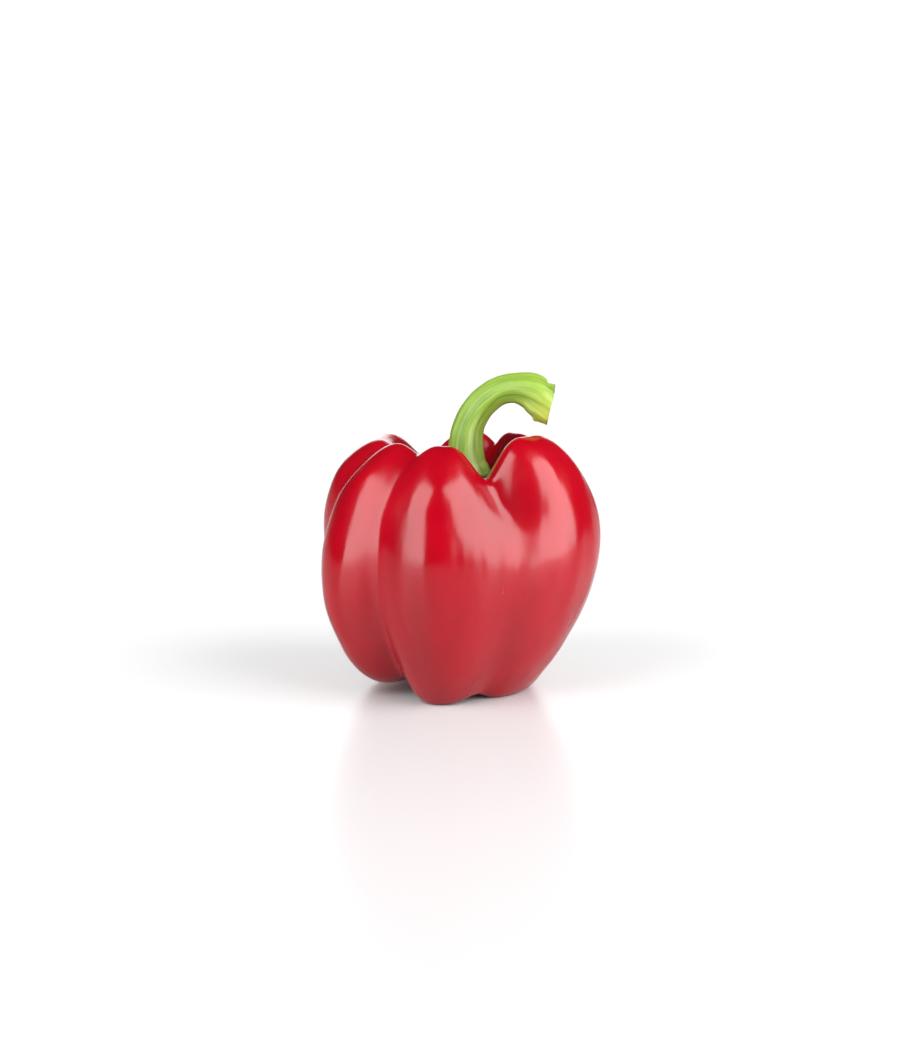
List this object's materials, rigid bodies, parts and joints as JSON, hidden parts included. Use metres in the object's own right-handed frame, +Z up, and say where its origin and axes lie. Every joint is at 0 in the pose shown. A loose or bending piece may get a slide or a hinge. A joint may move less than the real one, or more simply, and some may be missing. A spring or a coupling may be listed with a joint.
{
  "type": "bell pepper",
  "caption": "Whole red bell pepper with deep blocky lobes, a hollow top holding a ragged green calyx, and a hooked green stem. Stands upright on its lobes.",
  "frame": {"origin": "middle of the footprint, on the surface the pepper stands on", "axes": "+Z up, along the fruit's axis towards the stem; -Y towards the front lobe; +X towards the side the stem hooks over"},
  "size_m": [0.0847, 0.0818, 0.0974],
  "materials": {
    "fruit_skin": "waxy, very smooth red pepper skin with sharp soft-box highlights; faint darker mottling and paler flecks",
    "calyx": "dark green crumpled leaf-like calyx, dull, with a paler raised collar round the stem",
    "stem": "light green fibrous stem with lengthwise ridges and pale streaks; dry yellowish cut end"
  },
  "bodies": {
    "root": {"fruit": "fruit_skin", "calyx": "calyx", "stem": "stem"}
  },
  "joints": []
}
